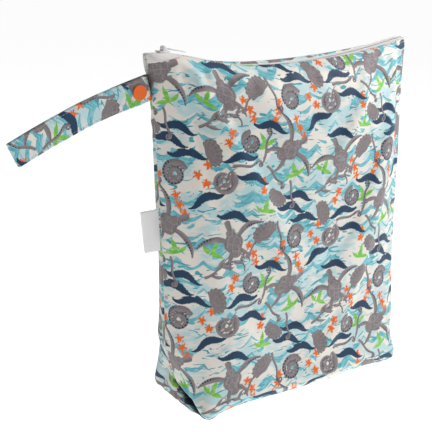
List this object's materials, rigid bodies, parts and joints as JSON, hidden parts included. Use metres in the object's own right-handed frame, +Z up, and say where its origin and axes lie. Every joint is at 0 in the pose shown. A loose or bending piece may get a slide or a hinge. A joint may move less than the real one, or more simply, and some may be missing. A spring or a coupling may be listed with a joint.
{
  "type": "zip-top wet bag",
  "caption": "Standing cloth wet bag with a boxed base, a zip across the top, and a snap-closed hand strap and a bare label sewn into one side seam.",
  "frame": {"origin": "middle of the boxed base, on the surface that the bag stands on", "axes": "+Z up, +X along the zip with the slider and the strap towards -X, +Y from the front panel to the back one"},
  "size_m": [0.4098, 0.095, 0.3277],
  "materials": {
    "printed_cloth": "waterproof knitted polyester with an all-over print, slightly satin",
    "strap_cloth": "the same printed cloth, folded to a band and topstitched",
    "white_tape": "white woven zip tape",
    "white_nylon": "white moulded nylon and enamelled slider",
    "orange_plastic": "glossy orange acetal snap",
    "label_satin": "white satin ribbon, bare"
  },
  "bodies": {
    "bag": {"bag_cloth": "printed_cloth", "zip_tape_front": "white_tape", "zip_tape_back": "white_tape", "zip_teeth": "white_nylon", "zip_slider": "white_nylon", "hand_strap": "strap_cloth", "snap_cap_front": "orange_plastic", "snap_socket": "orange_plastic", "snap_cap_back": "orange_plastic", "snap_stud": "orange_plastic", "side_label": "label_satin"},
    "pull": {"zip_pull": "white_nylon"}
  },
  "joints": [
    {"name": "pull_swing", "type": "hinge", "parent": "bag", "child": "pull", "pos_m": [-0.1261, 0, 0.32572], "axis": [0, -1, 0], "range_deg": [0, 170]}
  ]
}
